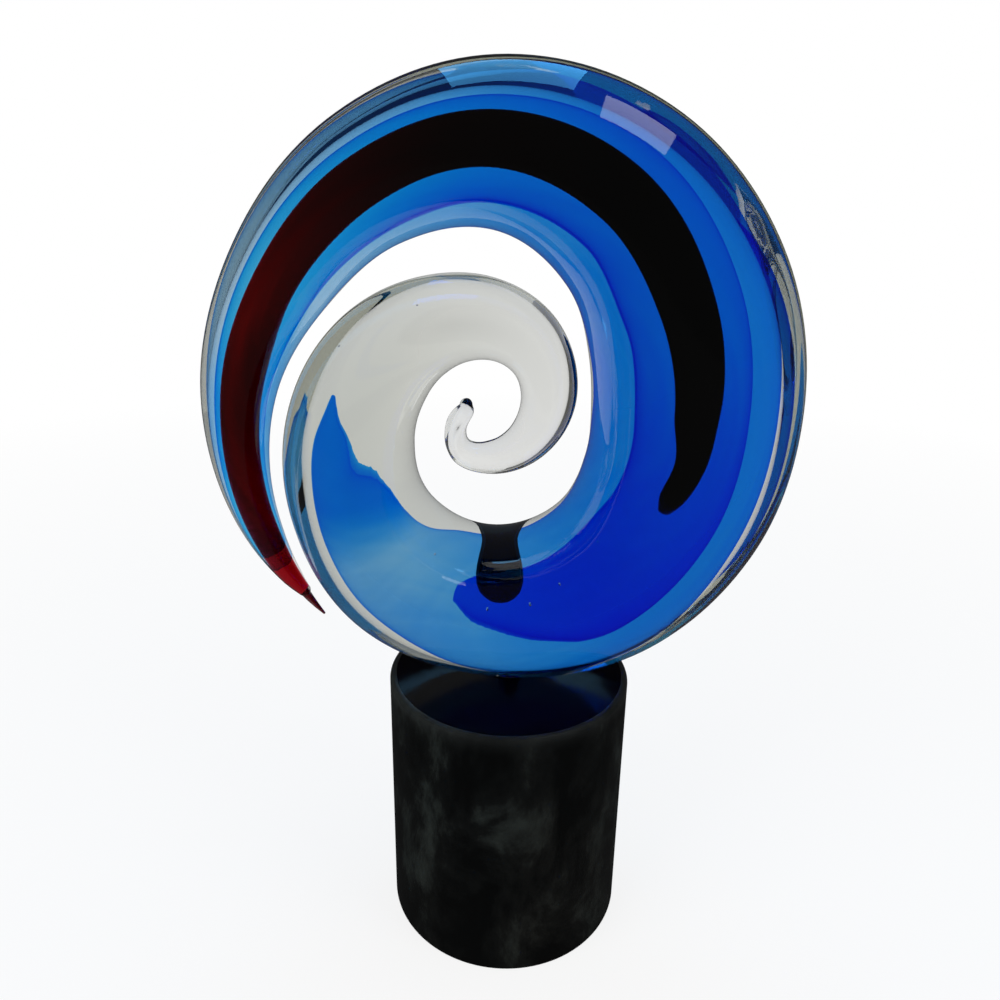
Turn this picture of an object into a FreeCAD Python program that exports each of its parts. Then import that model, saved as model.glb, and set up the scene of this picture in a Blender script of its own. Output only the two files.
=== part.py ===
import FreeCAD, Part
import math
import os

from FreeCAD import Vector

# A glass wave on a round black base. Millimetres, +Z up, +Y to the back.
# The origin is on the floor, at the centre of the base's underside.

# Base: a rolled steel tube with an inset top, an inset bottom and a weight inside
base_diameter = 150.0
base_height = 167.0
tube_wall = 4.0
tube_edge_round = 3.0
tube_floor_gap = 1.0
inset_gap = 0.2
lid_thickness = 8.0
bottom_plate_thickness = 4.0
felt_thickness = 2.0
felt_margin = 5.0

# Welded tabs that carry the lid and the bottom plate, and their screws
tab_count = 3
tab_reach = 11.0
tab_width = 20.0
tab_height = 9.0
screw_diameter = 5.0
screw_clearance = 0.25
screw_head_diameter = 9.0
screw_head_height = 3.0
lid_screw_depth = 5.5
plate_screw_depth = 7.0

# Weight in the base
ballast_thickness = 36.0
ballast_side_gap = 1.0
ballast_bolt_diameter = 8.0
ballast_bolt_head_diameter = 15.0
ballast_bolt_head_height = 3.5
ballast_bolt_end = 3.0

# Steel pin that the glass stands over
pin_diameter = 10.0
pin_height = 16.0
pin_point_chamfer = 1.5
stud_diameter = 8.0
stud_clearance = 0.2
stud_end = 4.0
pin_washer_diameter = 36.0
nut_across_flats = 13.0
nut_height = 6.5
washer_thickness = 2.0
ballast_washer_diameter = 24.0

# Seat of the glass, and the lined hole drilled up into it
foot_pad_diameter = 26.0
foot_pad_thickness = 1.5
pin_running_gap = 0.05
sleeve_wall = 1.4
sleeve_glue_gap = 0.05
sleeve_length = 18.0
drill_end_gap = 1.0

# Glass: one long horn wound flat about an eye. Each row is a cross-section on a ray from the eye:
# the ray's turn in degrees, then its outer edge, its inner edge and its thickness from front to back,
# all three in per cent of the reach of the wave.
wave_reach = 180.0
eye_offset = -13.0
foot_cut_depth = 1.0
section_fullness = 1.9
section_egg = 0.3
half_section_steps = 12
edge_tolerance = 0.01

clear_rows = [
    (226, 93.6, 89.2, 4.5), (222, 94, 87.4, 9), (210, 93.9, 81.5, 15.2), (180, 91.7, 69.2, 26.6),
    (150, 91.1, 59.1, 36.1), (120, 95.2, 56.2, 43.7), (90, 99.5, 53, 49.4), (60, 100.4, 43.6, 55.1),
    (30, 99, 34.4, 58.9), (0, 98.1, 31.6, 60.8), (-30, 99.9, 35.2, 62.7), (-60, 99.7, 42.3, 64.6),
    (-90, 94.3, 44.6, 64.6), (-120, 88.6, 39.3, 63.4), (-150, 75.6, 28.9, 59.3),
    (-180, 63.7, 21.8, 53.2), (-210, 53.6, 18.3, 46.8), (-240, 45.3, 16.3, 39.4),
    (-270, 39.5, 14.7, 32.7), (-300, 34.5, 12.7, 27.5), (-330, 29.6, 10.3, 23.6),
    (-360, 26.3, 8.9, 20), (-390, 24, 8.7, 17.1), (-420, 22.9, 9.7, 15.1), (-450, 22.6, 11.6, 13.2),
    (-480, 22.3, 13.7, 12.1), (-495, 20.3, 11.4, 11), (-510, 17.3, 7.1, 9.6), (-525, 14.2, 5.9, 8),
    (-541, 10.2, 6.1, 5.8),
]
aqua_rows = [
    (217, 92.3, 85.6, 6.5), (210, 91.2, 82.6, 9), (180, 85.6, 74.1, 17), (150, 85.9, 67.5, 22),
    (120, 88.9, 65, 26), (90, 91.4, 63, 29), (60, 89.7, 54.5, 31), (30, 85.8, 45.5, 33),
    (0, 82.5, 43, 34), (-30, 83.6, 45, 35), (-60, 86.3, 51.5, 35), (-90, 79.7, 57.5, 32),
    (-105, 74.5, 57, 27), (-120, 69.5, 58.7, 16.5), (-135, 62.5, 55.9, 9.5), (-150, 56, 50.5, 5),
    (-165, 50.3, 44.5, 3.5), (-174, 46.2, 43, 2.6), (-180, 44.1, 42.9, 1.8),
]
cobalt_rows = [
    (214, 91.2, 84.8, 5), (210, 90.4, 83.4, 6.5), (180, 83.2, 78, 11), (150, 80.3, 71, 15),
    (120, 81.6, 69.3, 18), (90, 83.9, 67.9, 20.5), (60, 82.6, 61.9, 22.5), (30, 77, 54.7, 24),
    (0, 73.7, 52.8, 25), (-30, 75.6, 58.9, 25.5), (-60, 77.7, 68.3, 23.5), (-75, 76.5, 69.4, 16),
    (-90, 75, 68.7, 10), (-96, 74, 69.1, 7.5), (-101, 72.3, 70.2, 3.5),
]
ruby_rows = [
    (232.5, 94.2, 93.3, 0.8), (229, 93.8, 91.4, 2.2), (225.5, 93.2, 89.6, 3.1),
    (220, 91.9, 87.8, 4), (210, 89.3, 85.1, 5), (180, 81.9, 78.7, 7), (150, 77.4, 72.2, 9),
    (120, 78.6, 71.2, 10.4), (90, 80.4, 71, 11.8), (60, 77, 65.6, 12.5), (30, 70.2, 59.6, 12.5),
    (0, 66.7, 58.6, 11.8), (-15, 66.8, 61.4, 9), (-25, 66.6, 62.4, 5.5), (-29, 66, 63.8, 2.1),
]

# Places worked out from the sizes above
tube_radius = base_diameter / 2
inner_radius = tube_radius - tube_wall
inset_radius = inner_radius - inset_gap
lid_underside = base_height - lid_thickness
plate_top = felt_thickness + bottom_plate_thickness
tab_radius = inner_radius - tab_reach / 2
screw_hole_radius = screw_diameter / 2 + screw_clearance
foot_height = base_height + foot_pad_thickness
sleeve_radius = pin_diameter / 2 + pin_running_gap + sleeve_wall
drill_radius = sleeve_radius + sleeve_glue_gap
share = wave_reach / 100
reaches_down = [-outer * math.sin(math.radians(turn)) for turn, outer, inner, thickness in clear_rows]
eye = Vector(eye_offset, 0, foot_height - foot_cut_depth + share * max(reaches_down))


def cylinder(radius, low, high, centre=(0, 0)):
    return Part.makeCylinder(radius, high - low, Vector(centre[0], centre[1], low))


def tube(outer_radius, hole_radius, low, high, centre=(0, 0)):
    return cylinder(outer_radius, low, high, centre).cut(cylinder(hole_radius, low, high, centre))


def hexagon(across_flats, low, high):
    corner = across_flats / math.sqrt(3)
    angles = [k * math.pi / 3 for k in range(7)]
    points = [Vector(corner * math.cos(angle), corner * math.sin(angle), low) for angle in angles]
    return Part.Face(Part.makePolygon(points)).extrude(Vector(0, 0, high - low))


def tab_centres():
    step = 2 * math.pi / tab_count
    return [(tab_radius * math.cos(k * step), tab_radius * math.sin(k * step)) for k in range(tab_count)]


def half_section(turn, outer, inner, thickness):
    """The back half of a cross-section, as points from its outer edge round to its inner edge."""
    ray = Vector(math.cos(math.radians(turn)), 0, math.sin(math.radians(turn)))
    middle = eye + ray * (share * (outer + inner) / 2)
    half_width = ray * (share * (outer - inner) / 2)
    half_thickness = Vector(0, share * thickness / 2, 0)
    points = [middle + half_width]
    for k in range(1, half_section_steps):
        angle = math.pi * k / half_section_steps
        across = math.copysign(abs(math.cos(angle)) ** (2 / section_fullness), math.cos(angle))
        deep = math.sin(angle) ** (2 / section_fullness)
        deep *= 1 - section_egg * across
        points.append(middle + half_width * across + half_thickness * deep)
    points.append(middle - half_width)
    return points


def end_edge(half, section):
    """The edge of this half of the horn that runs across its end, between the section's two rims."""
    for edge in half.Edges:
        ends = [vertex.Point for vertex in edge.Vertexes]
        misses = [min(end.distanceToPoint(rim) for end in ends) for rim in (section[0], section[-1])]
        if max(misses) < edge_tolerance:
            return edge


def horn(rows):
    """A closed tapering horn through these cross-sections, the same in front as behind."""
    sections = [half_section(*row) for row in rows]
    surface = Part.BSplineSurface()
    surface.interpolate(sections)
    back = surface.toShape()
    front = back.mirror(Vector(0, 0, 0), Vector(0, 1, 0))
    faces = [back, front]
    for section in (sections[0], sections[-1]):
        faces.append(Part.Face(Part.Wire([end_edge(half, section) for half in (back, front)])))
    shell = Part.makeShell(faces)
    shell.sewShape()
    return Part.makeSolid(shell)


def drilled(glass):
    """Grinds the foot flat and drills the hole for the pin up from it."""
    below = cylinder(base_diameter, base_height - base_diameter, foot_height)
    hole = cylinder(drill_radius, foot_height, foot_height + sleeve_length + drill_end_gap)
    return glass.cut(below).cut(hole)


def glass_layers():
    clear, aqua, cobalt, ruby = [horn(rows) for rows in (clear_rows, aqua_rows, cobalt_rows, ruby_rows)]
    return {
        "clear_glass_body": drilled(clear.cut(aqua).cut(ruby)),
        "aqua_glass_layer": drilled(aqua.cut(cobalt).cut(ruby)),
        "cobalt_glass_layer": drilled(cobalt.cut(ruby)),
        "ruby_glass_core": drilled(ruby),
    }


def hole_sleeve():
    return tube(sleeve_radius, pin_diameter / 2 + pin_running_gap, foot_height, foot_height + sleeve_length)


def foot_pad():
    return tube(foot_pad_diameter / 2, pin_diameter / 2 + pin_running_gap, base_height, foot_height)


def mounting_pin():
    top = base_height + pin_height
    pin = cylinder(pin_diameter / 2, base_height, top)
    rim = [edge for edge in pin.Edges if abs(edge.BoundBox.ZMin - top) < edge_tolerance]
    pin = pin.makeChamfer(pin_point_chamfer, rim)
    stud_low = lid_underside - washer_thickness - nut_height - stud_end
    return pin.fuse(cylinder(stud_diameter / 2, stud_low, base_height)).removeSplitter()


def base_tube():
    wall = tube(tube_radius, inner_radius, tube_floor_gap, base_height)
    top_edges = [edge for edge in wall.Edges if abs(edge.BoundBox.ZMin - base_height) < edge_tolerance]
    rim = [edge for edge in top_edges if edge.BoundBox.XMax > inner_radius + edge_tolerance]
    return wall.makeFillet(tube_edge_round, rim)


def base_lid():
    lid = cylinder(inset_radius, lid_underside, base_height)
    lid = lid.cut(cylinder(stud_diameter / 2 + stud_clearance, lid_underside, base_height))
    for centre in tab_centres():
        lid = lid.cut(cylinder(screw_diameter / 2, lid_underside, lid_underside + lid_screw_depth, centre))
    return lid


def tabs(low, hole_radius):
    inside = cylinder(inner_radius, low, low + tab_height)
    corner = Vector(inner_radius - tab_reach, -tab_width / 2, low)
    blocks = []
    for k, centre in enumerate(tab_centres()):
        block = Part.makeBox(tab_reach, tab_width, tab_height, corner)
        block.rotate(Vector(0, 0, 0), Vector(0, 0, 1), 360 * k / tab_count)
        blocks.append(block.common(inside).cut(cylinder(hole_radius, low, low + tab_height, centre)))
    return Part.makeCompound(blocks)


def lid_screws():
    under_tab = lid_underside - tab_height
    screws = []
    for centre in tab_centres():
        head = cylinder(screw_head_diameter / 2, under_tab - screw_head_height, under_tab, centre)
        shank = cylinder(screw_diameter / 2, under_tab, lid_underside + lid_screw_depth, centre)
        screws.append(head.fuse(shank).removeSplitter())
    return Part.makeCompound(screws)


def countersunk(head_radius, head_height, shank_radius, top, centre=(0, 0)):
    """A flat-headed screw that points up, with its head's face level with the bottom plate's underside."""
    low = felt_thickness
    head = Part.makeCone(head_radius, shank_radius, head_height, Vector(centre[0], centre[1], low))
    return head.fuse(cylinder(shank_radius, low + head_height, top, centre)).removeSplitter()


def plate_screw_shapes():
    head_radius = screw_head_diameter / 2
    radius = screw_diameter / 2
    top = plate_top + plate_screw_depth
    return [countersunk(head_radius, screw_head_height, radius, top, centre) for centre in tab_centres()]


def ballast_bolt():
    top = plate_top + ballast_thickness + washer_thickness + nut_height + ballast_bolt_end
    head_radius = ballast_bolt_head_diameter / 2
    return countersunk(head_radius, ballast_bolt_head_height, ballast_bolt_diameter / 2, top)


def bottom_plate():
    plate = cylinder(inset_radius, felt_thickness, plate_top)
    for screw in plate_screw_shapes() + [ballast_bolt()]:
        plate = plate.cut(screw)
    return plate


def ballast_disc():
    hole = ballast_bolt_diameter / 2 + stud_clearance
    return tube(inner_radius - tab_reach - ballast_side_gap, hole, plate_top, plate_top + ballast_thickness)


def washer(outer_diameter, hole_diameter, low):
    return tube(outer_diameter / 2, hole_diameter / 2 + stud_clearance, low, low + washer_thickness)


def nut(thread_diameter, low):
    thread = cylinder(thread_diameter / 2, low, low + nut_height)
    return hexagon(nut_across_flats, low, low + nut_height).cut(thread)


ballast_washer_low = plate_top + ballast_thickness
pin_washer_low = lid_underside - washer_thickness

nodes = glass_layers()
nodes["glass_hole_sleeve"] = hole_sleeve()
nodes["foot_pad"] = foot_pad()
nodes["mounting_pin"] = mounting_pin()
nodes["pin_washer"] = washer(pin_washer_diameter, stud_diameter, pin_washer_low)
nodes["pin_nut"] = nut(stud_diameter, pin_washer_low - nut_height)
nodes["base_tube"] = base_tube()
nodes["base_lid"] = base_lid()
nodes["lid_tabs"] = tabs(lid_underside - tab_height, screw_hole_radius)
nodes["lid_screws"] = lid_screws()
nodes["bottom_plate"] = bottom_plate()
nodes["bottom_tabs"] = tabs(plate_top, screw_diameter / 2)
nodes["bottom_screws"] = Part.makeCompound(plate_screw_shapes())
nodes["ballast_disc"] = ballast_disc()
nodes["ballast_bolt"] = ballast_bolt()
nodes["ballast_washer"] = washer(ballast_washer_diameter, ballast_bolt_diameter, ballast_washer_low)
nodes["ballast_nut"] = nut(ballast_bolt_diameter, ballast_washer_low + washer_thickness)
nodes["felt_pad"] = cylinder(tube_radius - felt_margin, 0, felt_thickness)

os.makedirs("parts", exist_ok=True)
for name, shape in nodes.items():
    shape.exportStep("parts/" + name + ".step")
    print(name, "solids", len(shape.Solids), "valid", shape.isValid(), "volume", round(shape.Volume))
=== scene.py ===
import math

import bmesh
import bpy
from mathutils import Matrix, Vector


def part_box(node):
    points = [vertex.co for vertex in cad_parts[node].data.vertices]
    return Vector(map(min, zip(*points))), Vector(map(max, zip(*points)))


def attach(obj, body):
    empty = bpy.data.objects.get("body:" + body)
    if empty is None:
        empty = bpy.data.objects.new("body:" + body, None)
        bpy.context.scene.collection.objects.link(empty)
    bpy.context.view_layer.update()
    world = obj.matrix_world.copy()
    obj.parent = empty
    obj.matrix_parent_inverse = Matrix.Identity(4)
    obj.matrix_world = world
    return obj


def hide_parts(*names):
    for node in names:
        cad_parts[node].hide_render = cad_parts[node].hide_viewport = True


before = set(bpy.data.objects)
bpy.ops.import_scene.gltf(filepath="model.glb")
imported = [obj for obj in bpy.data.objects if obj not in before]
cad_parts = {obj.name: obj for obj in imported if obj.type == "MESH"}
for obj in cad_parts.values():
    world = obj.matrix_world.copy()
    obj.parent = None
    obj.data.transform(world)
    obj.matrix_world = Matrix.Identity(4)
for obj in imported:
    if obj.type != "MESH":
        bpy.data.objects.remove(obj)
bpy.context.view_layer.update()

# Clear glass: the thick last gather, drawn out to a horn and curled flat like a breaking wave.
# It cases all the colour, is fire polished, and its foot is ground flat where it stands on the pad.
# A row is a turn round the eye in degrees, then outer edge, inner edge and thickness in % of the reach.
wave_reach = 0.180
eye_offset = -0.013
base_top = 0.167
foot_height = base_top + 0.0015
foot_cut_depth = 0.001
section_fullness = 1.9
section_egg = 0.3
ring_points = 64
row_step = 2.0
end_closings = (0.98, 0.85, 0.6, 0.3)
clear_rows = [
    (226, 93.6, 89.2, 4.5), (222, 94, 87.4, 9), (210, 93.9, 81.5, 15.2), (180, 91.7, 69.2, 26.6),
    (150, 91.1, 59.1, 36.1), (120, 95.2, 56.2, 43.7), (90, 99.5, 53, 49.4), (60, 100.4, 43.6, 55.1),
    (30, 99, 34.4, 58.9), (0, 98.1, 31.6, 60.8), (-30, 99.9, 35.2, 62.7), (-60, 99.7, 42.3, 64.6),
    (-90, 94.3, 44.6, 64.6), (-120, 88.6, 39.3, 63.4), (-150, 75.6, 28.9, 59.3),
    (-180, 63.7, 21.8, 53.2), (-210, 53.6, 18.3, 46.8), (-240, 45.3, 16.3, 39.4),
    (-270, 39.5, 14.7, 32.7), (-300, 34.5, 12.7, 27.5), (-330, 29.6, 10.3, 23.6),
    (-360, 26.3, 8.9, 20), (-390, 24, 8.7, 17.1), (-420, 22.9, 9.7, 15.1), (-450, 22.6, 11.6, 13.2),
    (-480, 22.3, 13.7, 12.1), (-495, 20.3, 11.4, 11), (-510, 17.3, 7.1, 9.6), (-525, 14.2, 5.9, 8),
    (-541, 10.2, 6.1, 5.8),
]
lowest_reach = max(-outer * math.sin(math.radians(turn)) for turn, outer, inner, thickness in clear_rows)
eye = Vector((eye_offset, 0, foot_height - foot_cut_depth + lowest_reach * wave_reach / 100))


def along(rows, turn):
    """The cross-section at this turn, on a smooth line through the rows."""
    after = next(k for k in range(1, len(rows)) if rows[k][0] <= turn or k == len(rows) - 1)
    before = after - 1
    span = rows[after][0] - rows[before][0]
    part = (turn - rows[before][0]) / span
    section = []
    for which in (1, 2, 3):
        slopes = []
        for k in (before, after):
            low, high = max(k - 1, 0), min(k + 1, len(rows) - 1)
            slopes.append((rows[high][which] - rows[low][which]) / (rows[high][0] - rows[low][0]) * span)
        start, end = rows[before][which], rows[after][which]
        bend = slopes[0] * (part ** 3 - 2 * part ** 2 + part) + slopes[1] * (part ** 3 - part ** 2)
        section.append(start + (end - start) * (3 * part ** 2 - 2 * part ** 3) + bend)
    return section


def section_matrix(rows, turn, closing=0.0):
    """Where the horn's plain round section goes at this turn. Closing, 0 to 1, rounds it off past the end."""
    outer, inner, thickness = along(rows, turn)
    share = wave_reach / 100
    angle = math.radians(turn)
    ray = Vector((math.cos(angle), 0, math.sin(angle)))
    onward = Vector((math.sin(angle), 0, -math.cos(angle)))
    half_width, half_thickness = share * (outer - inner) / 2, share * thickness / 2
    size = math.sqrt(1 - closing ** 2)
    way_on = closing * min(half_width, half_thickness)
    if turn == rows[0][0]:
        way_on = -way_on
    middle = eye + ray * (share * (outer + inner) / 2) + onward * way_on
    across = ray * half_width * size
    deep = Vector((0, 1, 0)) * half_thickness * size
    return Matrix((
        (across.x, deep.x, onward.x, middle.x),
        (across.y, deep.y, onward.y, middle.y),
        (across.z, deep.z, onward.z, middle.z),
        (0, 0, 0, 1),
    ))


def horn(rows, first=None, last=None, rounded=(1, 1)):
    """A closed horn, drawn on from turn to turn. Rounded is 1 for a rounded end and 0 for a flat one."""
    first = rows[0][0] if first is None else first
    last = rows[-1][0] if last is None else last
    places = [section_matrix(rows, first, closing * rounded[0]) for closing in end_closings]
    steps = max(2, round((first - last) / row_step))
    places += [section_matrix(rows, first + (last - first) * k / steps) for k in range(steps + 1)]
    places += [section_matrix(rows, last, closing * rounded[1]) for closing in reversed(end_closings)]
    mesh = bmesh.new()
    ring = bmesh.ops.create_circle(mesh, cap_ends=True, radius=1, segments=ring_points)["verts"]
    round_part = 2 / section_fullness
    for corner in ring:
        corner.co.x = math.copysign(abs(corner.co.x) ** round_part, corner.co.x)
        deep = math.copysign(abs(corner.co.y) ** round_part, corner.co.y)
        corner.co.y = deep * (1 - section_egg * corner.co.x)
    bmesh.ops.transform(mesh, matrix=places[0], verts=ring)
    edges = list(mesh.edges)
    for before, after in zip(places, places[1:]):
        drawn = bmesh.ops.extrude_edge_only(mesh, edges=edges)["geom"]
        ring = [part for part in drawn if isinstance(part, bmesh.types.BMVert)]
        edges = [part for part in drawn if isinstance(part, bmesh.types.BMEdge)]
        bmesh.ops.transform(mesh, matrix=after @ before.inverted(), verts=ring)
    bmesh.ops.contextual_create(mesh, geom=edges)
    bmesh.ops.recalc_face_normals(mesh, faces=mesh.faces)
    return mesh


def finished(mesh, name, material, body):
    """Makes the mesh a smooth object with its material, and lets it ride on its CAD body."""
    data = bpy.data.meshes.new(name)
    mesh.to_mesh(data)
    mesh.free()
    for face in data.polygons:
        face.use_smooth = True
    piece = bpy.data.objects.new(name, data)
    bpy.context.scene.collection.objects.link(piece)
    data.materials.append(material)
    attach(piece, body)
    return piece


class Socket:
    """An output of a finish's nodes. Sums and products on it add Math nodes."""

    def __init__(self, finish, socket):
        self.finish = finish
        self.socket = socket

    def math(self, operation, *values):
        return self.finish.node("Math", {"operation": operation}, dict(enumerate(values)))

    def at_least(self, other):
        return self.math("MAXIMUM", self, other)

    def __add__(self, other):
        return self.math("ADD", self, other)

    def __sub__(self, other):
        return self.math("SUBTRACT", self, other)

    def __rsub__(self, other):
        return self.math("SUBTRACT", other, self)

    def __mul__(self, other):
        return self.math("MULTIPLY", self, other)

    def __pow__(self, other):
        return self.math("POWER", self, other)

    __radd__ = __add__
    __rmul__ = __mul__


class Finish:
    """The nodes of one material, or of the world."""

    def __init__(self, name, owner=None):
        self.made = owner or bpy.data.materials.new(name)
        self.made.use_nodes = True
        self.tree = self.made.node_tree
        self.tree.nodes.clear()

    def node(self, kind, settings=None, sockets=None, out=0):
        """Adds a node, with its settings first and then the values or links of its sockets."""
        made = self.tree.nodes.new("ShaderNode" + kind)
        for name, value in (settings or {}).items():
            if name == "stops":
                for k, (place, colour) in enumerate(value):
                    stop = made.color_ramp.elements[k] if k < 2 else made.color_ramp.elements.new(place)
                    stop.position = place
                    stop.color = colour
            else:
                setattr(made, name, value)
        for name, value in (sockets or {}).items():
            if isinstance(value, Socket):
                self.tree.links.new(value.socket, made.inputs[name])
            else:
                made.inputs[name].default_value = value
        return Socket(self, made.outputs[out]) if made.outputs else None


def absorbing(finish, kept, over):
    """A volume that lets these shares of red, green and blue through in this many metres."""
    strongest = 0.999
    losses = [-math.log(share) / over for share in kept]
    density = max(losses) / strongest
    colour = [1 - loss / density for loss in losses] + [1]
    return finish.node("VolumeAbsorption", {}, {"Color": colour, "Density": density})


glass_index = 1.5
clear_kept = (0.885, 0.89, 0.87)
clear_kept_over = 0.03
clear_glass = Finish("clear_glass")
clear_surface = clear_glass.node("BsdfPrincipled", {}, {
    "Base Color": (1, 1, 1, 1), "Roughness": 0.0, "IOR": glass_index, "Transmission Weight": 1.0})
clear_glass.node("OutputMaterial", {}, {
    "Surface": clear_surface, "Volume": absorbing(clear_glass, clear_kept, clear_kept_over)})

wave = horn(clear_rows)
cut = bmesh.ops.bisect_plane(
    wave, geom=wave.verts[:] + wave.edges[:] + wave.faces[:], dist=0.000001,
    plane_co=(0, 0, foot_height), plane_no=(0, 0, -1), clear_outer=True)
foot_edge = [part for part in cut["geom_cut"] if isinstance(part, bmesh.types.BMEdge)]

# Drilled hole: goes up into the middle of the ground foot, for the pin and the sleeve that lines it.
# The ground foot is the ring of faces between the hole's rim and the edge of the cut.
glue_gap = 0.00005
sleeve_headroom = 0.001
hole_points = 48
sleeve_low, sleeve_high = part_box("glass_hole_sleeve")
hole_radius = (sleeve_high[0] - sleeve_low[0]) / 2 + glue_gap
hole_depth = sleeve_high[2] - sleeve_low[2] + sleeve_headroom
hole_rim = bmesh.ops.create_circle(
    wave, radius=hole_radius, segments=hole_points, matrix=Matrix.Translation((0, 0, foot_height)))["verts"]
rim_edges = list(dict.fromkeys(edge for corner in hole_rim for edge in corner.link_edges))
bmesh.ops.bridge_loops(wave, edges=foot_edge + rim_edges)
wall = bmesh.ops.extrude_edge_only(wave, edges=rim_edges)["geom"]
hole_end = [part for part in wall if isinstance(part, bmesh.types.BMVert)]
bmesh.ops.translate(wave, verts=hole_end, vec=(0, 0, hole_depth))
bmesh.ops.contextual_create(wave, geom=[part for part in wall if isinstance(part, bmesh.types.BMEdge)])
bmesh.ops.recalc_face_normals(wave, faces=wave.faces)
glass = finished(wave, "clear_glass", clear_glass.made, "glass")
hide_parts("clear_glass_body")

# Bubbles: a few seeds of air, 1 to 1.6 mm across, that were caught in the front of the glass
# when the hot horn was dipped for its next gather.
bubble_places = [
    (-0.014, -0.030, 0.222, 0.0007), (0.012, -0.031, 0.226, 0.0008), (0.030, -0.030, 0.238, 0.0007),
    (0.055, -0.022, 0.262, 0.0005), (-0.048, -0.024, 0.251, 0.0006), (-0.092, -0.016, 0.370, 0.0006),
    (-0.052, -0.012, 0.390, 0.0005),
]
air = Finish("air_bubble")
air_surface = air.node("BsdfPrincipled", {}, {
    "Base Color": (1, 1, 1, 1), "Roughness": 0.0, "IOR": 1 / glass_index, "Transmission Weight": 1.0})
air.node("OutputMaterial", {}, {"Surface": air_surface})
bubbles = bmesh.new()
for across, deep, height, radius in bubble_places:
    bmesh.ops.create_icosphere(
        bubbles, subdivisions=3, radius=radius, matrix=Matrix.Translation((across, deep, height)))
seeds = finished(bubbles, "air_bubbles", air.made, "glass")

# Aqua glass: the third gather, cased in a skin of blue as thin as a card. Where the line of sight grazes
# the skin its colour is deep, and where it crosses it is pale. The skin is drawn out palest at the left of
# the wave, and is deeper towards the right and round its pointed end.
skin_thickness = 0.0004
aqua_rows = [
    (217, 92.3, 85.6, 6.5), (210, 91.2, 82.6, 9), (180, 85.6, 74.1, 17), (150, 85.9, 67.5, 22),
    (120, 88.9, 65, 26), (90, 91.4, 63, 29), (60, 89.7, 54.5, 31), (30, 85.8, 45.5, 33),
    (0, 82.5, 43, 34), (-30, 83.6, 45, 35), (-60, 86.3, 51.5, 35), (-90, 79.7, 57.5, 32),
    (-105, 74.5, 57, 27), (-120, 69.5, 58.7, 16.5), (-135, 62.5, 55.9, 9.5), (-150, 56, 50.5, 5),
    (-165, 50.3, 44.5, 3.5), (-174, 46.2, 43, 2.6), (-180, 44.1, 42.9, 1.8),
]
aqua_kept = (0.78, 0.90, 0.996)
aqua_deep_tint = (0.19, 0.70, 0.99)
aqua_palest_x, aqua_deepest_x, aqua_deepest = -0.15, 0.06, 0.85
aqua_point = (-0.080, 0.0, 0.325)
point_near, point_far = 0.05, 0.09
aqua_streaking = 0.4
streaks_to_metre = 220.0


def skin(mesh, thickness):
    """Turns a closed layer into a thin wall, inwards from its surface."""
    bmesh.ops.solidify(mesh, geom=mesh.faces[:], thickness=thickness)
    return mesh


def coordinate(finish, axis):
    """How far along one of the part's axes a place on the piece lies."""
    place = finish.node("TexCoord", out="Object")
    return finish.node("SeparateXYZ", {}, {"Vector": place}, out=axis)


def graded(finish, value, start, end, low=0.0, high=1.0):
    """Goes evenly from low to high while the value goes from start to end."""
    return finish.node("MapRange", {}, {
        "Value": value, "From Min": start, "From Max": end, "To Min": low, "To Max": high})


def drawn_streaks(finish):
    """Noise about 0, in fine streaks round the eye, the way the hot glass was drawn."""
    place = finish.node("TexCoord", out="Object")
    from_eye = finish.node("VectorMath", {"operation": "SUBTRACT"}, {0: place, 1: eye})
    way_out = finish.node("VectorMath", {"operation": "LENGTH"}, {0: from_eye}, out="Value")
    way_round = finish.node("VectorMath", {"operation": "NORMALIZE"}, {0: from_eye})
    rings = finish.node("CombineXYZ", {}, {"X": way_out * streaks_to_metre})
    spread = finish.node("VectorMath", {"operation": "ADD"}, {0: way_round, 1: rings})
    noise = finish.node("TexNoise", {}, {"Vector": spread, "Scale": 1.0, "Detail": 4.0, "Roughness": 0.6})
    return noise - 0.5


def tinted(finish, tint):
    """A surface that bends no light, and only tints what shows through it."""
    return finish.node("BsdfTransparent", {}, {"Color": tint + (1,)})


def mixed(finish, share, first, second):
    """Turns from the first surface to the second as the share goes from 0 to 1."""
    return finish.node("MixShader", {}, {0: share.at_least(0.0), 1: first, 2: second})


aqua_film = Finish("aqua_film")
to_right = graded(
    aqua_film, coordinate(aqua_film, "X"), aqua_palest_x, aqua_deepest_x, high=aqua_deepest)
place = aqua_film.node("TexCoord", out="Object")
from_point = aqua_film.node("VectorMath", {"operation": "DISTANCE"}, {0: place, 1: aqua_point}, out="Value")
at_point = graded(aqua_film, from_point, point_near, point_far, low=1.0, high=0.0)
deeper = to_right.at_least(at_point) + drawn_streaks(aqua_film) * aqua_streaking
aqua_surface = mixed(aqua_film, deeper, tinted(aqua_film, (1, 1, 1)), tinted(aqua_film, aqua_deep_tint))
aqua_film.node("OutputMaterial", {}, {
    "Surface": aqua_surface, "Volume": absorbing(aqua_film, aqua_kept, skin_thickness)})
aqua = finished(skin(horn(aqua_rows), skin_thickness), "aqua_layer", aqua_film.made, "glass")
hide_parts("aqua_glass_layer")

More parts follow.
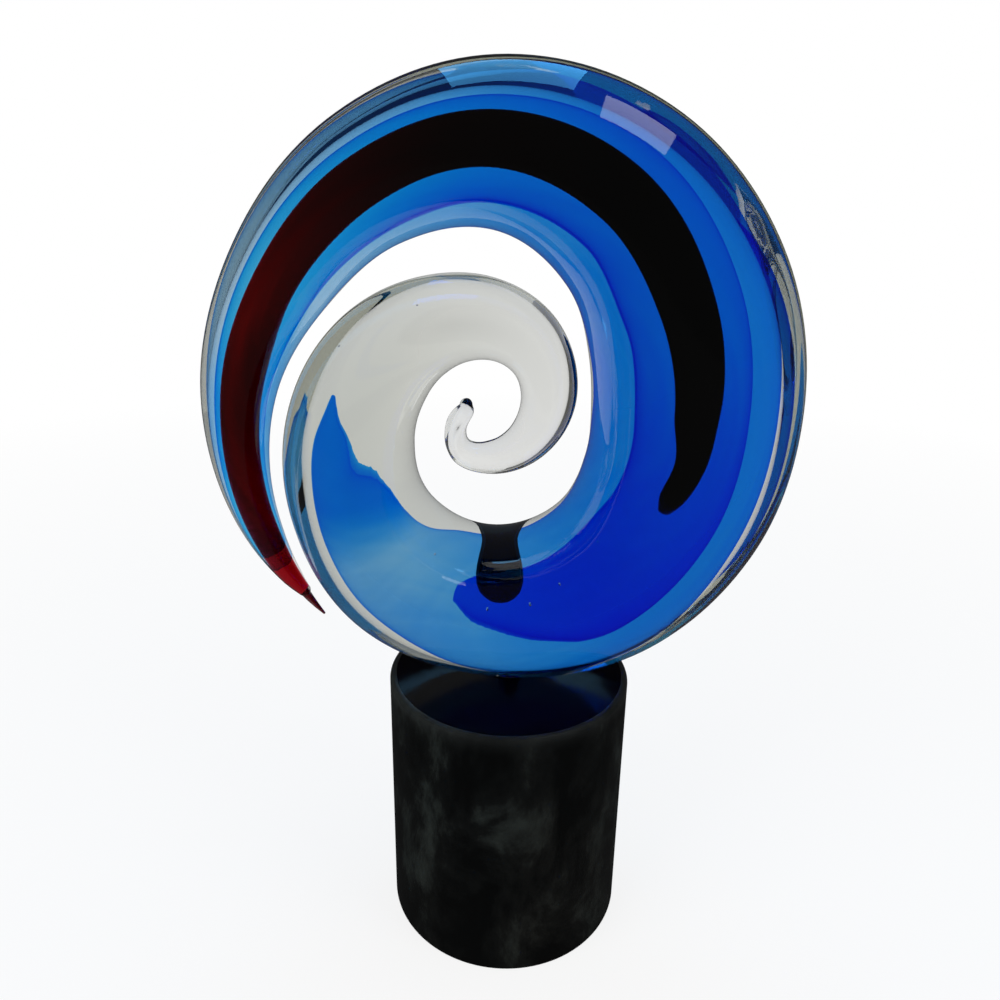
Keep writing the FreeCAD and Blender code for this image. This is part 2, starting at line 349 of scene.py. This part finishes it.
# Cobalt glass: the second gather, cased in a denser blue skin, with a blunt nose low in the ring.
# Like the aqua it is drawn out pale at the left. It is azure over the top of the wave and a deep cobalt
# low in the ring.
cobalt_rows = [
    (214, 91.2, 84.8, 5), (210, 90.4, 83.4, 6.5), (180, 83.2, 78, 11), (150, 80.3, 71, 15),
    (120, 81.6, 69.3, 18), (90, 83.9, 67.9, 20.5), (60, 82.6, 61.9, 22.5), (30, 77, 54.7, 24),
    (0, 73.7, 52.8, 25), (-30, 75.6, 58.9, 25.5), (-60, 77.7, 68.3, 23.5), (-75, 76.5, 69.4, 16),
    (-90, 75, 68.7, 10), (-96, 74, 69.1, 7.5), (-101, 72.3, 70.2, 3.5),
]
cobalt_kept = (0.52, 0.89, 0.987)
azure_tint = (0.33, 0.93, 0.995)
cobalt_deep_tint = (0.20, 0.61, 0.99)
cobalt_palest_x, cobalt_full_x = -0.14, -0.03
deepest_height, azure_height = 0.22, 0.38
azure_streaking, cobalt_streaking = 0.6, 0.4
cobalt_film = Finish("cobalt_film")
lower = graded(cobalt_film, coordinate(cobalt_film, "Z"), deepest_height, azure_height, low=1.0, high=0.0)
to_right = graded(cobalt_film, coordinate(cobalt_film, "X"), cobalt_palest_x, cobalt_full_x)
streaks = drawn_streaks(cobalt_film)
bluer = to_right + streaks * azure_streaking
deeper = lower * to_right + streaks * cobalt_streaking
azure = mixed(cobalt_film, bluer, tinted(cobalt_film, (1, 1, 1)), tinted(cobalt_film, azure_tint))
cobalt_surface = mixed(cobalt_film, deeper, azure, tinted(cobalt_film, cobalt_deep_tint))
cobalt_film.node("OutputMaterial", {}, {
    "Surface": cobalt_surface, "Volume": absorbing(cobalt_film, cobalt_kept, skin_thickness)})
cobalt = finished(skin(horn(cobalt_rows), skin_thickness), "cobalt_layer", cobalt_film.made, "glass")
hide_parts("cobalt_glass_layer")

# Ruby glass: the heart of the horn, so dense that it is black where thick. A weak red glow, strongest in
# the left arm, stands in for the red light that the blue layers would swallow in the render.
ruby_rows = [
    (232.5, 94.2, 93.3, 0.8), (229, 93.8, 91.4, 2.2), (225.5, 93.2, 89.6, 3.1),
    (220, 91.9, 87.8, 4), (210, 89.3, 85.1, 5), (180, 81.9, 78.7, 7), (150, 77.4, 72.2, 9),
    (120, 78.6, 71.2, 10.4), (90, 80.4, 71, 11.8), (60, 77, 65.6, 12.5), (30, 70.2, 59.6, 12.5),
    (0, 66.7, 58.6, 11.8), (-15, 66.8, 61.4, 9), (-25, 66.6, 62.4, 5.5), (-29, 66, 63.8, 2.1),
]
bare_from = clear_rows[0][0]
ruby_kept = (0.16, 0.0002, 0.0008)
ruby_kept_over = 0.008
ruby_tint = (0.9, 0.85, 0.85)
glow_strength = 0.13
most_glow_x, no_glow_x = -0.15, 0.06
thin_height, thick_height, thin_glow = 0.25, 0.30, 0.1
ruby_inside = Finish("ruby_inside")
to_left = graded(ruby_inside, coordinate(ruby_inside, "X"), most_glow_x, no_glow_x, low=1.0, high=0.0)
thick = graded(ruby_inside, coordinate(ruby_inside, "Z"), thin_height, thick_height, low=thin_glow)
red = ruby_inside.node("ValToRGB", {"stops": [
    (0.0, (0, 0, 0, 1)), (1.0, (1, 0, 0, 1))]}, {"Fac": to_left * thick})
ruby_glow = ruby_inside.node("Emission", {}, {"Color": red, "Strength": glow_strength})
ruby_surface = ruby_inside.node("AddShader", {}, {0: tinted(ruby_inside, ruby_tint), 1: ruby_glow})
ruby_inside.node("OutputMaterial", {}, {
    "Surface": ruby_surface, "Volume": absorbing(ruby_inside, ruby_kept, ruby_kept_over)})
ruby = finished(horn(ruby_rows, first=bare_from, rounded=(0, 1)), "ruby_core", ruby_inside.made, "glass")
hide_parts("ruby_glass_core")

# Ruby tip: the thin end of the same ruby glass, which comes bare out of the clear glass at the end of
# the wave. It is drawn out to a point, so thin that its red shows.
tip_colour = (0.17, 0.003, 0.007, 1)
tip_kept = (0.60, 0.02, 0.04)
tip_kept_over = 0.002
ruby_bare = Finish("ruby_bare")
bare_surface = ruby_bare.node("BsdfPrincipled", {}, {
    "Base Color": tip_colour, "Roughness": 0.05, "IOR": glass_index, "Transmission Weight": 0.5})
ruby_bare.node("OutputMaterial", {}, {
    "Surface": bare_surface, "Volume": absorbing(ruby_bare, tip_kept, tip_kept_over)})
tip = finished(horn(ruby_rows, last=bare_from, rounded=(1, 0)), "ruby_tip", ruby_bare.made, "glass")

# Seat: the glass stands on a thin washer of black rubber, which keeps it off the lid.
# A turned nylon sleeve is cemented into the hole in the glass and slips over the pin.
rubber_shades = (0.008, 0.008, 0.008), (0.016, 0.016, 0.016)
nylon_shades = (0.55, 0.56, 0.55), (0.66, 0.67, 0.66)


def dress(node, finish):
    """Gives a CAD node its finish."""
    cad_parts[node].data.materials.clear()
    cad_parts[node].data.materials.append(finish.made)


def solid_finish(name, shades, grain, roughness, metallic=0.0, bump=0.0, gloss=0.5):
    """An opaque finish, clouded between two shades by noise of this many cells to the metre."""
    finish = Finish(name)
    place = finish.node("TexCoord", out="Object")
    clouds = finish.node("TexNoise", {}, {"Vector": place, "Scale": grain, "Detail": 6.0, "Roughness": 0.62})
    shade = finish.node("ValToRGB", {"stops": [
        (0.32, shades[0] + (1,)), (0.68, shades[1] + (1,))]}, {"Fac": clouds})
    relief = finish.node("Bump", {}, {"Height": clouds, "Strength": bump, "Distance": 0.0004})
    smoothest, roughest = roughness
    surface = finish.node("BsdfPrincipled", {}, {
        "Base Color": shade, "Roughness": clouds * (roughest - smoothest) + smoothest,
        "Metallic": metallic, "Specular IOR Level": gloss, "Normal": relief})
    finish.node("OutputMaterial", {}, {"Surface": surface})
    return finish


dress("foot_pad", solid_finish("black_rubber", rubber_shades, 900, (0.6, 0.8), bump=0.2))
dress("glass_hole_sleeve", solid_finish("clear_nylon", nylon_shades, 300, (0.3, 0.45)))

# Base: a rolled steel tube, blackened and waxed. Cloudy stains, some greenish and some brownish, run
# down its side. Its rim is lighter: partly wear, and partly a painted highlight on the rounded edge.
rim_wear_and_highlight_depth = 0.012
stain_drawn_down = (1.0, 1.0, 0.55)
cloud_cells, fleck_cells, hue_cells = 26.0, 240.0, 9.0
rim_wear_and_highlight_colour = (0.026, 0.029, 0.028, 1)
speckling, rim_wear_and_highlight = 0.35, 0.9
tube_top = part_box("base_tube")[1][2]
tube_finish = Finish("blackened_steel")
place = tube_finish.node("TexCoord", out="Object")
drawn = tube_finish.node("VectorMath", {"operation": "MULTIPLY"}, {0: place, 1: stain_drawn_down})
clouds = tube_finish.node("TexNoise", {}, {
    "Vector": drawn, "Scale": cloud_cells, "Detail": 9.0, "Roughness": 0.66, "Distortion": 0.35})
flecks = tube_finish.node("TexNoise", {}, {
    "Vector": drawn, "Scale": fleck_cells, "Detail": 4.0, "Roughness": 0.7})
hues = tube_finish.node("TexNoise", {}, {"Vector": drawn, "Scale": hue_cells, "Detail": 2.0})
greenish = tube_finish.node("ValToRGB", {"stops": [
    (0.40, (0.0012, 0.0016, 0.0017, 1)), (0.54, (0.0036, 0.0048, 0.0048, 1)),
    (0.66, (0.020, 0.027, 0.024, 1))]}, {"Fac": clouds})
brownish = tube_finish.node("ValToRGB", {"stops": [
    (0.42, (0.0014, 0.0015, 0.0014, 1)), (0.66, (0.016, 0.015, 0.012, 1))]}, {"Fac": clouds})
stained = tube_finish.node("MixRGB", {}, {0: hues ** 3.0 * 2.0, 1: greenish, 2: brownish})
specks = tube_finish.node("ValToRGB", {"stops": [
    (0.35, (0.45, 0.45, 0.45, 1)), (0.65, (1, 1, 1, 1))]}, {"Fac": flecks})
speckled = tube_finish.node("MixRGB", {"blend_type": "MULTIPLY"}, {0: speckling, 1: stained, 2: specks})
# The lighter band along the rim is partly wear and partly a painted highlight on the rounded edge.
worn_and_highlighted_rim = graded(tube_finish, coordinate(tube_finish, "Z"), tube_top - rim_wear_and_highlight_depth, tube_top)
side = tube_finish.node("MixRGB", {}, {0: worn_and_highlighted_rim ** 2.0 * clouds * rim_wear_and_highlight, 1: speckled, 2: rim_wear_and_highlight_colour})
relief = tube_finish.node("Bump", {}, {"Height": clouds + flecks * 0.3, "Strength": 0.25, "Distance": 0.0006})
tube_surface = tube_finish.node("BsdfPrincipled", {}, {
    "Base Color": side, "Roughness": clouds * 0.3 + (0.42 - worn_and_highlighted_rim * 0.2), "Metallic": 0.0,
    "Specular IOR Level": 0.22, "Normal": relief})
tube_finish.node("OutputMaterial", {}, {"Surface": tube_surface})
dress("base_tube", tube_finish)

# Top of the base: a plate inset in the tube, lacquered near black and polished. The navy cast in its
# colour is a painted reflection of the blue glass above it. A few faint rubbing marks dull it.
lid_finish = Finish("black_lacquer")
place = lid_finish.node("TexCoord", out="Object")
haze = lid_finish.node("TexNoise", {}, {"Vector": place, "Scale": 30.0, "Detail": 5.0})
rubs = lid_finish.node("TexNoise", {}, {"Vector": place, "Scale": 400.0, "Detail": 3.0})
# Near black, with a navy cast that is a painted reflection of the blue glass.
black_with_painted_navy_reflection = lid_finish.node("ValToRGB", {"stops": [
    (0.3, (0.0006, 0.0004, 0.0014, 1)), (0.7, (0.0012, 0.0008, 0.0026, 1))]}, {"Fac": haze})
lid_surface = lid_finish.node("BsdfPrincipled", {}, {
    "Base Color": black_with_painted_navy_reflection, "Roughness": rubs * 0.06 + 0.12, "Specular IOR Level": 0.04})
lid_finish.node("OutputMaterial", {}, {"Surface": lid_surface})
dress("base_lid", lid_finish)

# Inside the base: plates and tabs of oiled mild steel, zinc-plated fixings, a turned pin that stands up
# into the glass, and an iron weight. A black felt is glued on below.
steel_shades = (0.10, 0.10, 0.10), (0.19, 0.185, 0.18)
zinc_shades = (0.42, 0.43, 0.44), (0.55, 0.55, 0.54)
pin_shades = (0.55, 0.55, 0.55), (0.66, 0.66, 0.66)
iron_shades = (0.055, 0.053, 0.050), (0.10, 0.095, 0.09)
felt_shades = (0.008, 0.008, 0.009), (0.024, 0.024, 0.026)
zinc_fixings = (
    "pin_washer", "pin_nut", "lid_screws", "bottom_screws", "ballast_bolt", "ballast_washer", "ballast_nut")
oiled = solid_finish("oiled_steel", steel_shades, 60, (0.35, 0.5), metallic=1.0)
zinc = solid_finish("zinc_plate", zinc_shades, 150, (0.25, 0.4), metallic=1.0)
turned = solid_finish("turned_steel", pin_shades, 500, (0.15, 0.3), metallic=1.0)
iron = solid_finish("cast_iron", iron_shades, 350, (0.6, 0.85), metallic=0.6, bump=0.8)
felt = solid_finish("wool_felt", felt_shades, 1400, (0.9, 1.0), bump=1.0, gloss=0.2)
for node in ("bottom_plate", "lid_tabs", "bottom_tabs"):
    dress(node, oiled)
for node in zinc_fixings:
    dress(node, zinc)
dress("mounting_pin", turned)
dress("ballast_disc", iron)
dress("felt_pad", felt)

# Studio floor: plain and pale, and white far off, with the shadow kept near the base.
# It shows through the glass a little greyer, and only dimly as a reflection.
floor_half = 30.0
shadow_reach = 1.6
white_at_base = 0.82
seen_through = 0.84
mirrored_floor = 0.06
floor_mesh = bmesh.new()
bmesh.ops.create_grid(floor_mesh, x_segments=8, y_segments=8, size=floor_half)
floor_data = bpy.data.meshes.new("floor")
floor_mesh.to_mesh(floor_data)
floor_mesh.free()
floor = bpy.data.objects.new("floor", floor_data)
bpy.context.scene.collection.objects.link(floor)
pale = Finish("pale_floor")
place = pale.node("TexCoord", out="Object")
way_off = pale.node("VectorMath", {"operation": "LENGTH"}, {0: place}, out="Value")
whitened = graded(pale, way_off, 0.0, shadow_reach, low=white_at_base)
lit = pale.node("BsdfDiffuse", {}, {"Color": (0.85, 0.85, 0.85, 1)})
direct = pale.node("LightPath", out="Is Camera Ray")
through = pale.node("LightPath", out="Is Transmission Ray")
mirrored = pale.node("LightPath", out="Is Glossy Ray") * (1 - through)
white = pale.node("Emission", {}, {"Color": (1, 1, 1, 1), "Strength": direct + through * seen_through})
glow = pale.node("MixShader", {}, {0: (direct + through) * whitened, 1: lit, 2: white})
dim = pale.node("Emission", {}, {"Color": (1, 1, 1, 1), "Strength": mirrored_floor})
pale.node("OutputMaterial", {}, {"Surface": pale.node("MixShader", {}, {0: mirrored, 1: glow, 2: dim})})
floor_data.materials.append(pale.made)

# Surround: past the object it is white. Through the glass it is white behind and at the sides, falling
# off to the dim room behind the camera, which the rims of the glass bend into view as dark lines.
# It reflects dimly, and lights the object evenly from all round.
dim_room = 0.15
dimmest_y, white_y = -0.85, -0.35
mirrored_room = 0.05
ambient = 0.42
scene = bpy.context.scene
scene.world = bpy.data.worlds.new("surround")
sky = Finish("surround", scene.world)
toward = sky.node("TexCoord", out="Generated")
to_back = sky.node("SeparateXYZ", {}, {"Vector": toward}, out="Y")
behind = sky.node("MapRange", {"interpolation_type": "SMOOTHSTEP"}, {
    "Value": to_back, "From Min": dimmest_y, "From Max": white_y, "To Min": dim_room, "To Max": 1.0})
direct = sky.node("LightPath", out="Is Camera Ray")
through = sky.node("LightPath", out="Is Transmission Ray")
mirrored = sky.node("LightPath", out="Is Glossy Ray") * (1 - through)
looked_at = direct + through * behind * seen_through + mirrored * mirrored_room
unseen = 1 - direct - through - mirrored
surround = sky.node("Background", {}, {"Color": (1, 1, 1, 1), "Strength": looked_at + unseen * ambient})
sky.node("OutputWorld", {}, {"Surface": surround})

# Lamps: a window high at the right, which shows only as a reflection, and a blue lamp overhead.
# A fill at each side lights the base, and neither shows in the glass or as a reflection.
window_tint, sky_blue, plain_white = (0.9, 0.95, 1.0), (0.10, 0.50, 1.0), (1.0, 1.0, 1.0)
lamp_aim = Vector((0, 0, 0.3))
for name, place, size, power, colour, reflects, shines_through in (
    ("window", (0.74, 0.0, 1.64), 0.45, 1.6, window_tint, True, False),
    ("top_lamp", (0.0, 0.5, 1.8), 0.8, 8.0, sky_blue, True, True),
    ("left_fill", (-1.15, -0.95, 1.05), 1.0, 12.0, plain_white, False, False),
    ("right_fill", (1.2, -0.75, 0.95), 0.7, 7.0, plain_white, False, False),
):
    lamp_data = bpy.data.lights.new(name, "AREA")
    lamp_data.size = size
    lamp_data.energy = power
    lamp_data.color = colour
    lamp = bpy.data.objects.new(name, lamp_data)
    lamp.visible_glossy = reflects
    lamp.visible_transmission = shines_through
    lamp.location = place
    lamp.rotation_euler = (lamp_aim - Vector(place)).to_track_quat("-Z", "Y").to_euler()
    scene.collection.objects.link(lamp)

# Camera: as the photograph was taken, from close by and a little above, with a slight roll.
# Sight lines cross many walls of glass, so light may bounce often.
look_down, camera_roll = 18.54, 0.97
glass_bounces, clear_bounces = 48, 64
camera_data = bpy.data.cameras.new("camera")
camera_data.lens = 28.8
camera_data.sensor_width = 36.0
camera_data.shift_y = -0.02
camera = bpy.data.objects.new("camera", camera_data)
camera.location = (-0.00765, -0.44565, 0.4420)
tilt, roll = math.radians(90 - look_down), math.radians(camera_roll)
camera.rotation_euler = (Matrix.Rotation(tilt, 3, "X") @ Matrix.Rotation(roll, 3, "Z")).to_euler()
scene.collection.objects.link(camera)
scene.camera = camera
scene.view_settings.view_transform = "Standard"
scene.cycles.max_bounces = glass_bounces
scene.cycles.transmission_bounces = glass_bounces
scene.cycles.transparent_max_bounces = clear_bounces
scene.cycles.glossy_bounces = 24
scene.cycles.diffuse_bounces = 4
